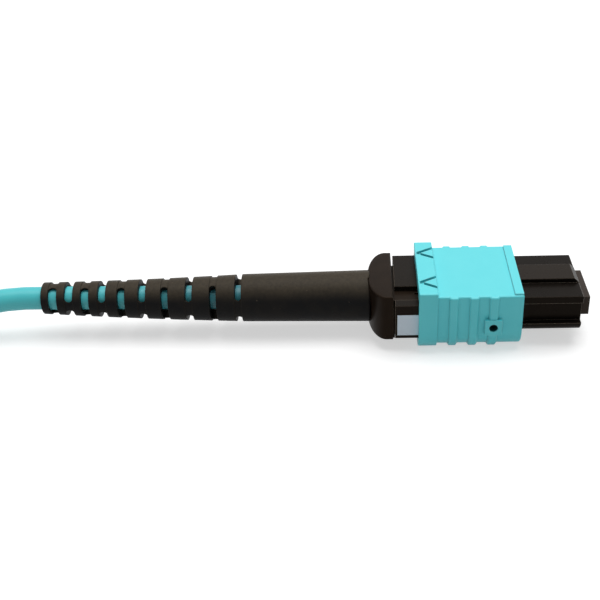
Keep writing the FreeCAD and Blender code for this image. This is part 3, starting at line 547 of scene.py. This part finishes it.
jacket_finish = jacket("cable_jacket")
shade_painted_jacket = jacket("cable_jacket", boot_shade_on_jacket)
shade_painted_jacket.material.name = "sheltered_jacket_finish"
print("jackets", jacket_finish.material.name, shade_painted_jacket.material.name)

# %% [markdown]
# ## Ink, resin, fibre coating and yarn
# These are small and mostly hidden.  Ink, cured resin and the fibres' coating are nearly
# flat, with a slight mottle.  The yarn is a bundle of threads that run along the cable.

# %% Ink, resin and yarn


def plain_ink(name, colour, rough):
    """Ink or cured resin: nearly flat, with a slight mottle."""
    made = Finish(name)
    mottle = made.noise(0.4, 4)
    made.feed("Base Color", made.mixed(mottle * 0.4, colour, tuple(0.86 * c for c in colour)))
    made.feed("Roughness", rough + (mottle - 0.5) * 0.15)
    made.relief(made.noise(0.08, 2), 0.002)
    return made


mark_finish = plain_ink("white_mark", (0.70, 0.80, 0.89), 0.45)
resin_finish = plain_ink("adhesive", (0.42, 0.27, 0.08), 0.18)
fibre_finish = plain_ink("fibre_coating", (0.62, 0.60, 0.48), 0.25)


def woven(name, colour, pale, grain_mm):
    """Bundled or woven threads."""
    made = Finish(name, Sheen_Weight=0.3)
    threads = made.noise(grain_mm, 3, (1, 3, 3))
    fluff = made.noise(grain_mm * 4, 4)
    made.feed("Base Color", made.mixed(threads * 0.6 + fluff * 0.3, colour, pale))
    made.feed("Roughness", 0.85 - threads * 0.15)
    made.relief(threads + fluff * 0.4, 0.05)
    return made


yarn_finish = woven("yarn", (0.60, 0.46, 0.13), (0.78, 0.64, 0.26), 0.07)
print("small finishes", mark_finish.slot, resin_finish.slot, fibre_finish.slot, yarn_finish.slot)

# %% [markdown]
# ## Hook-and-loop tape
# The tie is woven nylon tape: threads go over and under each other in a checker, and each
# crossing is a small bump.  The product of two sine waves gives that checker.  The waves run
# along X and along Y + Z, because Y + Z grows steadily both over the top and down the sides.

# %% Tape


def tape(name, colour, pale, pitch_mm):
    """Plain-woven tape with some loose fluff."""
    made = Finish(name, Sheen_Weight=0.15, Specular_IOR_Level=0.2)
    wave = 2 * math.pi / (pitch_mm * MM)
    across = made.sum("SINE", made.height("X") * wave)
    along = made.sum("SINE", (made.height("Y") + made.height("Z")) * wave)
    bump = across * along * 0.5 + 0.5
    fluff = made.noise(0.5, 5, rough=0.65)
    made.feed("Base Color", made.mixed(bump * 0.45 + made.between(fluff, 0.5, 0.8) * 0.35,
                                       colour, pale))
    made.feed("Roughness", 0.8 - bump * 0.12 + (fluff - 0.5) * 0.15)
    made.relief(bump + fluff * 0.5, 0.10)
    return made


tie_finish = tape("tie_fabric", (0.007, 0.007, 0.0075), (0.034, 0.034, 0.037), 0.6)
print("finishes", len(bpy.data.materials))

# %% [markdown]
# ## Dressing the solids
# The solids arrive as loose triangles.  A copy with its doubled points merged and its edges
# sharp only past an angle shades round surfaces smoothly, and stands for the CAD node.  The
# normals that came with the triangles don't fit the merged mesh, so they are dropped first,
# and the Weighted Normal modifier keeps large flat faces flat beside small rounded ones.  The
# boot is soft behind its solid half, and there the cable lifts it by half a millimetre, so
# the copies of the boot and of what runs in it are bent before they are shaded.

# %% Dress the solids
SHARP_ANGLE = math.radians(32)
MERGE_WITHIN = 1e-7                         # in metres
BEND_START = -46.0                          # the solid half of the boot stays straight
SOFT_REAR = ("boot", "cable_jacket_end", "aramid_yarn", "fibre_ribbon")
NODE_BODY = {node: body for body, nodes in frame["record"]["behaviour"]["bodies"].items()
             for node in nodes}


def bend_up(mesh):
    """Lifts what lies behind the boot's solid half, more and more towards its mouth."""
    for vertex in mesh.vertices:
        share = (BEND_START - vertex.co.x / MM) / (BEND_START - BOOT_MOUTH)
        vertex.co.z += MOUTH_LIFT * MM * max(share, 0) ** 2


def skin(node, finish):
    """A smooth-shaded copy of a CAD node that stands for it."""
    mesh = frame["nodes"][node].data.copy()
    shape = bmesh.new()
    shape.from_mesh(mesh)
    bmesh.ops.remove_doubles(shape, verts=shape.verts, dist=MERGE_WITHIN)
    shape.to_mesh(mesh)
    shape.free()
    if "custom_normal" in mesh.attributes:
        mesh.attributes.remove(mesh.attributes["custom_normal"])
    if node in SOFT_REAR:
        bend_up(mesh)
    mesh.shade_smooth()
    mesh.set_sharp_from_angle(angle=SHARP_ANGLE)
    mesh.materials.clear()
    mesh.materials.append(finish.material)
    piece = bpy.data.objects.new(node + "_skin", mesh)
    bpy.context.scene.collection.objects.link(piece)
    level = piece.modifiers.new("flat_faces_stay_flat", "WEIGHTED_NORMAL")
    level.keep_sharp = True
    level.weight = 100                      # large faces win outright
    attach(piece, NODE_BODY[node])
    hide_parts(node)
    return piece


SKINS = {
    "outer_housing": aqua, "inner_housing": housing_black, "rear_body": black, "pin_clamp": black,
    "polarity_mark": mark_finish, "boot": boot_finish, "ferrule": ferrule_finish,
    "ferrule_epoxy": resin_finish, "ferrule_boot": boot_finish, "fibre_ribbon": fibre_finish,
    "crimp_ring": crimp_finish, "aramid_yarn": yarn_finish, "cable_jacket_end": shade_painted_jacket,
    "hank_tie": tie_finish, "cable_end_cap": cap_finish,
}
skins = {node: skin(node, finish) for node, finish in SKINS.items()}
for node, piece in skins.items():
    print(node, len(piece.data.polygons), "faces")

# %% [markdown]
# ## Rules as Geometry Nodes
# What repeats or follows a rule is built by a node tree.  `Rule` keeps the tree's named sizes,
# and its `mesh` method ends the tree, runs it once on an empty mesh, and returns the result
# as a plain mesh, so that nothing of the tree is left on the piece.

# %% Rules


class Rule(Graph):
    """A Geometry Nodes tree with named sizes."""

    def __init__(self, name, finish, **sizes):
        super().__init__(bpy.data.node_groups.new(name, "GeometryNodeTree"))
        self.name, self.finish, self.sizes = name, finish, sizes
        self.given = self.tree.nodes.new("NodeGroupInput")
        for title, value in sizes.items():
            kind = "NodeSocketInt" if isinstance(value, int) else "NodeSocketFloat"
            self.tree.interface.new_socket(title, in_out="INPUT", socket_type=kind)
        self.tree.interface.new_socket("Geometry", in_out="OUTPUT",
                                       socket_type="NodeSocketGeometry")

    def size(self, title):
        """A named size, as a wire."""
        return Wire(self, self.given.outputs[title])

    def vector(self, x, y, z):
        """Three numbers or wires as one vector."""
        return self.node("ShaderNodeCombineXYZ", None, {0: x, 1: y, 2: z})

    def mesh(self, shape):
        """The tree's result as a mesh with its finish."""
        real = self.node("GeometryNodeRealizeInstances", None, {0: shape})
        real = self.node("GeometryNodeSetMaterial", None,
                         {"Geometry": real, "Material": self.finish.material})
        out = self.tree.nodes.new("NodeGroupOutput")
        self.tree.links.new(real.socket, out.inputs[0])
        holder = bpy.data.objects.new(self.name + "_source", bpy.data.meshes.new(self.name))
        bpy.context.scene.collection.objects.link(holder)
        rule = holder.modifiers.new("rule", "NODES")
        rule.node_group = self.tree
        for item in self.tree.interface.items_tree:
            if item.in_out == "INPUT":
                rule[item.identifier] = self.sizes[item.name]
        graph = bpy.context.evaluated_depsgraph_get()
        made = bpy.data.meshes.new_from_object(holder.evaluated_get(graph))
        bpy.data.objects.remove(holder)
        return made


def new_piece(name, mesh, body):
    """An object at the origin that rides on a body."""
    piece = bpy.data.objects.new(name, mesh)
    bpy.context.scene.collection.objects.link(piece)
    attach(piece, body)
    return piece


def outward(mesh):
    """Turns the faces of a closed mesh outwards, and returns it smooth."""
    shape = bmesh.new()
    shape.from_mesh(mesh)
    bmesh.ops.recalc_face_normals(shape, faces=shape.faces)
    shape.to_mesh(mesh)
    shape.free()
    mesh.shade_smooth()
    return mesh


print("rules ready")

# %% [markdown]
# ## Springs
# Two small coils push the sleeve forward, and an oval one pushes the ferrule.  A coil is a
# rule: along a line of points, the angle grows evenly, and the place along X grows too,
# except over the first and last turn, where the wire lies on itself to make a flat end.  A
# circle swept along that line gives the wire.

# %% Springs
COUPLING_COIL = {"turns": 9, "wire": 0.2 * MM, "half_y": 0.5 * MM, "half_z": 0.5 * MM,
                 "front": -13.3 * MM, "rear": -20.5 * MM}
FERRULE_COIL = {"turns": 6, "wire": 0.36 * MM, "half_y": 3.17 * MM, "half_z": 1.67 * MM,
                "front": -10.21 * MM, "rear": -17.02 * MM, "middle_y": 0.0}
COUPLING_SEAT, FERRULE_SEAT = -20.6, -17.2  # the fixed ends, which the coils are pressed to
COUPLING_KEEP, FERRULE_KEEP = 0.80, 0.93    # share of a coil's length left at the limit
TURN_STEPS, WIRE_SIDES = 24, 10


def coil(node, joint, keep, anchor_x, **sizes):
    """A compression spring along X that stands for a CAD node."""
    rule = Rule(node + "_rule", spring_finish, steps=TURN_STEPS, **sizes)
    turns, wire = rule.size("turns"), rule.size("wire")
    front, rear = rule.size("front"), rule.size("rear")
    line = rule.node("GeometryNodeCurvePrimitiveLine")
    line = rule.node("GeometryNodeResampleCurve", None,
                     {"Curve": line, "Count": turns * rule.size("steps")})
    turn = rule.node("GeometryNodeSplineParameter", out="Factor") * turns
    at_front = rule.sum("MINIMUM", turn, 1.0)
    at_rear = rule.sum("MAXIMUM", turn - (turns - 1.0), 0.0)
    open_share = (turn - at_front - at_rear) / (turns - 2.0)
    x = front - (at_front + at_rear) * wire - open_share * (front - rear - wire * 2.0)
    angle = turn * (2 * math.pi)
    y = rule.size("middle_y") + rule.size("half_y") * rule.sum("COSINE", angle)
    z = rule.size("half_z") * rule.sum("SINE", angle)
    line = rule.node("GeometryNodeSetPosition", None,
                     {"Geometry": line, "Position": rule.vector(x, y, z)})
    ring = rule.node("GeometryNodeCurvePrimitiveCircle", None,
                     {"Resolution": WIRE_SIDES, "Radius": wire * 0.5})
    tube = rule.node("GeometryNodeCurveToMesh", None,
                     {"Curve": line, "Profile Curve": ring, "Fill Caps": True})
    piece = new_piece(node + "_coil", outward(rule.mesh(tube)), "root")
    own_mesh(piece)
    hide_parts(node)
    return piece


for node in ("coupling_spring_near", "coupling_spring_far"):
    low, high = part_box(node)
    piece = coil(node, "sleeve_pull", COUPLING_KEEP, COUPLING_SEAT,
                 middle_y=(low.y + high.y) / 2, **COUPLING_COIL)
    print(piece.name, len(piece.data.vertices), "vertices")
piece = coil("ferrule_spring", "ferrule_float", FERRULE_KEEP, FERRULE_SEAT, **FERRULE_COIL)
print(piece.name, len(piece.data.vertices), "vertices")

# %% [markdown]
# ## Polished fibre ends
# The twelve fibres end flush in the ferrule's face, and polishing leaves each one a very low
# glass dome.  They repeat at one pitch, so a rule puts a flattened sphere on each point of a
# line.  The finish finds the nearest fibre from the place across the face, and draws its
# bright core inside the grey cladding.

# %% Fibre ends
FIBRE_PITCH = 0.25 * MM
FIBRE_R = 0.0625 * MM
CORE_EDGE = (0.022 * MM, 0.028 * MM)        # the bright core fades out between these
DOME_SHARE = 0.08                           # a dome's height for its radius


def fibre_glass():
    """Glass seen end on: a bright core in a darker cladding."""
    made = Finish("fibre_coating", Specular_IOR_Level=0.6)
    made.material.name = "fibre_glass_finish"
    across, up = made.height("Y"), made.height("Z")
    off = made.sum("WRAP", across, FIBRE_PITCH, 0.0) - FIBRE_PITCH / 2
    radius = (off ** 2.0 + up ** 2.0) ** 0.5
    core = 1 - made.between(radius, *CORE_EDGE)
    made.feed("Base Color", made.mixed(core, (0.10, 0.11, 0.11), (0.55, 0.62, 0.60)))
    made.feed("Roughness", 0.12 + made.noise(0.03, 2) * 0.06)
    return made


def fibre_ends():
    """Twelve flattened spheres across the ferrule's face."""
    rule = Rule("fibre_ends_rule", fibre_glass(), count=12, pitch=FIBRE_PITCH,
                radius=FIBRE_R, dome=DOME_SHARE)
    pitch, count = rule.size("pitch"), rule.size("count")
    first = pitch * (count - 1.0) * -0.5
    points = rule.node("GeometryNodeMeshLine", None,
                       {"Count": count, "Start Location": rule.vector(0.0, first, 0.0),
                        "Offset": rule.vector(0.0, pitch, 0.0)})
    dome = rule.node("GeometryNodeMeshUVSphere", None,
                     {"Segments": 20, "Rings": 10, "Radius": rule.size("radius")})
    dome = rule.node("GeometryNodeTransform", None,
                     {"Geometry": dome, "Scale": rule.vector(rule.size("dome"), 1.0, 1.0)})
    placed = rule.node("GeometryNodeInstanceOnPoints", None,
                       {"Points": points, "Instance": dome})
    return new_piece("fibre_ends", outward(rule.mesh(placed)), NODE_BODY["ferrule"])


print("fibre ends", len(fibre_ends().data.vertices), "vertices")

# %% [markdown]
# ## The tie's tail
# The strap round the hank is hook-and-loop tape.  Its end laps over the top and holds by its
# hooks, so a second layer with a round tip lies on the band.  The tail is a grid of points:
# one way goes over the band's top towards the tip, which curls up a little, and the other
# way goes across the strap, narrower towards the tip.  Solidify gives it thickness, and
# Bevel takes the sharpness off its cut edge.

# %% Tie tail
TIE_X = -112.0                              # middle of the strap along the hank
TIE_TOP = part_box("hank_tie")[1].z / MM
TAIL_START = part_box("hank_tie")[1].y / MM - 2.2     # just in from the band's far corner
TAIL_LENGTH = 19.0
TAIL_HALF, TIP_HALF = 5.1, 0.6              # half widths: of the strap, and of its last row
TIP_SHARE = 0.22                            # share of the length that the round tip takes
TAIL_GAP, TAIL_CURL = 0.02, 0.10            # above the band, and how far the tip curls up
TAIL_ROWS, TAIL_PLACES = 40, 12
TAIL_THICK, TAIL_EDGE = 0.55, 0.16          # the tape, and the bevel of its cut edge


def tail_mesh():
    """A tongue that lies on the band's top, from the far side to its round tip."""
    shape = bmesh.new()
    rows = []
    for step in range(TAIL_ROWS + 1):
        share = step / TAIL_ROWS
        round_share = max(0.0, (share - 1 + TIP_SHARE) / TIP_SHARE)
        half = max(TAIL_HALF * math.sqrt(max(0.0, 1 - round_share ** 2)), TIP_HALF)
        y = TAIL_START - share * TAIL_LENGTH
        z = TIE_TOP + TAIL_GAP + TAIL_CURL * share ** 6
        across = [TIE_X + half * (2 * place / TAIL_PLACES - 1)
                  for place in range(TAIL_PLACES + 1)]
        rows.append([shape.verts.new((x * MM, y * MM, z * MM)) for x in across])
    for row, following in zip(rows, rows[1:]):
        for place in range(TAIL_PLACES):
            shape.faces.new((following[place], following[place + 1], row[place + 1],
                             row[place]))
    mesh = bpy.data.meshes.new("tie_tail")
    shape.to_mesh(mesh)
    shape.free()
    mesh.materials.append(tie_finish.material)
    mesh.shade_smooth()
    return mesh


tail = new_piece("tie_tail", tail_mesh(), "root")
solid = tail.modifiers.new("thickness", "SOLIDIFY")
solid.thickness, solid.offset = TAIL_THICK * MM, 1.0
round_edge = tail.modifiers.new("soft_edge", "BEVEL")
round_edge.width, round_edge.segments = TAIL_EDGE * MM, 2
print("tail", len(tail.data.polygons), "faces")

# %% [markdown]
# ## Stitches
# Two lines of short stitches hold the hooks to the tail.  A stitch is a long flat bead, and a
# rule puts one on every point of a line near each edge, because they only repeat.

# %% Stitches
stitch_finish = woven("tie_fabric", (0.09, 0.09, 0.095), (0.20, 0.20, 0.21), 0.08)
stitch_finish.material.name = "stitch_finish"
STITCH_START = TAIL_START - 0.8             # the first stitch along Y
STITCH_LIFT = 0.60                          # above the band, just on the tail's top face
STITCH_FLATNESS = 0.7


def stitches():
    """Two rows of short stitches along the tail."""
    rule = Rule("stitches_rule", stitch_finish, count=15, pitch=0.95 * MM, length=0.62 * MM,
                radius=0.11 * MM, row_offset=4.2 * MM, middle_x=TIE_X * MM,
                start_y=STITCH_START * MM, height=(TIE_TOP + STITCH_LIFT) * MM)
    rows = []
    for side in (-1.0, 1.0):
        x = rule.size("middle_x") + rule.size("row_offset") * side
        rows.append(rule.node("GeometryNodeMeshLine", None, {
            "Count": rule.size("count"),
            "Start Location": rule.vector(x, rule.size("start_y"), rule.size("height")),
            "Offset": rule.vector(0.0, rule.size("pitch") * -1.0, 0.0)}))
    joined = rule.tree.nodes.new("GeometryNodeJoinGeometry")
    for row in rows:
        rule.tree.links.new(row.socket, joined.inputs[0])
    bead = rule.node("GeometryNodeMeshUVSphere", None,
                     {"Segments": 10, "Rings": 8, "Radius": rule.size("radius")})
    stretch = rule.size("length") / (rule.size("radius") * 2.0)
    bead = rule.node("GeometryNodeTransform", None,
                     {"Geometry": bead, "Scale": rule.vector(1.0, stretch, STITCH_FLATNESS)})
    placed = rule.node("GeometryNodeInstanceOnPoints", None,
                       {"Points": Wire(rule, joined.outputs[0]), "Instance": bead})
    return new_piece("stitches", outward(rule.mesh(placed)), "root")


row_of_stitches = stitches()
print("stitches", len(row_of_stitches.data.polygons), "faces")

# %% [markdown]
# ## The cable's surface
# The line made above gets the jacket's finish and rides on the root; the CAD's cable run
# and hank, which it stands for, are hidden.

# %% Cable
cable_data.materials.append(jacket_finish.material)
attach(cable, "root")
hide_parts("cable_run", "cable_hank")

# %% [markdown]
# ## Floor, backdrop and light
# A pale floor and one wide soft light from above, with a dim even room round it.  The floor
# is white to the eye and to reflections, and still takes the object's shadow.

# %% Floor and light
FLOOR_Z = -4.77 * MM
ROOM = 1.2                                  # half the floor's side, in metres
FLOOR_GREY = 0.62
NEAR_GLOW, FAR_GLOW = 0.55, 0.40            # the floor's own white, and what is added far off
FAR_START, FAR_END = 0.2, 0.7               # the lamp's light fades between these, in metres
ROOM_LIGHT = 0.22                           # what the room gives to surfaces, white being 1
LAMP_PLACE, LAMP_TARGET = (0.02, 0.10, 0.50), (-0.04, 0, 0)
LAMP_SIZE, LAMP_POWER = 0.45, 2.7

floor_mesh = bpy.data.meshes.new("floor")
floor_mesh.from_pydata([(-ROOM, -ROOM, FLOOR_Z), (ROOM, -ROOM, FLOOR_Z),
                        (ROOM, ROOM, FLOOR_Z), (-ROOM, ROOM, FLOOR_Z)], [], [(0, 1, 2, 3)])
floor = bpy.data.objects.new("floor", floor_mesh)
bpy.context.scene.collection.objects.link(floor)
pale = Finish("pale_floor", Base_Color=(FLOOR_GREY, FLOOR_GREY, FLOOR_GREY, 1), Roughness=0.9,
              Specular_IOR_Level=0.0, Emission_Strength=1.0)
away = pale.node("ShaderNodeVectorMath", {"operation": "LENGTH"}, {0: pale.place()}, out="Value")
glow = NEAR_GLOW + pale.between(away, FAR_START, FAR_END) * FAR_GLOW
pale.feed("Emission Color", pale.mixed(pale.backdrop_rays() * glow, (0, 0, 0), (1, 1, 1)))
floor_mesh.materials.append(pale.material)

world = bpy.data.worlds.new("room")
bpy.context.scene.world = world
world.use_nodes = True
sky = Graph(world.node_tree)
strength = sky.backdrop_rays() * (1 - ROOM_LIGHT) + ROOM_LIGHT
backdrop = world.node_tree.nodes["Background"]
backdrop.inputs["Color"].default_value = (1, 1, 1, 1)
sky.tree.links.new(strength.socket, backdrop.inputs["Strength"])


def softbox(name, place, target, size, power):
    """A square area light aimed at a point."""
    data = bpy.data.lights.new(name, "AREA")
    data.size = size
    data.energy = power
    lamp = bpy.data.objects.new(name, data)
    lamp.location = place
    aim = Vector(target) - Vector(place)
    lamp.rotation_euler = aim.to_track_quat("-Z", "Y").to_euler()
    bpy.context.scene.collection.objects.link(lamp)


softbox("top_light", LAMP_PLACE, LAMP_TARGET, LAMP_SIZE, LAMP_POWER)
bpy.context.scene.view_settings.view_transform = "Standard"
print("floor at %.2f mm" % (FLOOR_Z / MM))
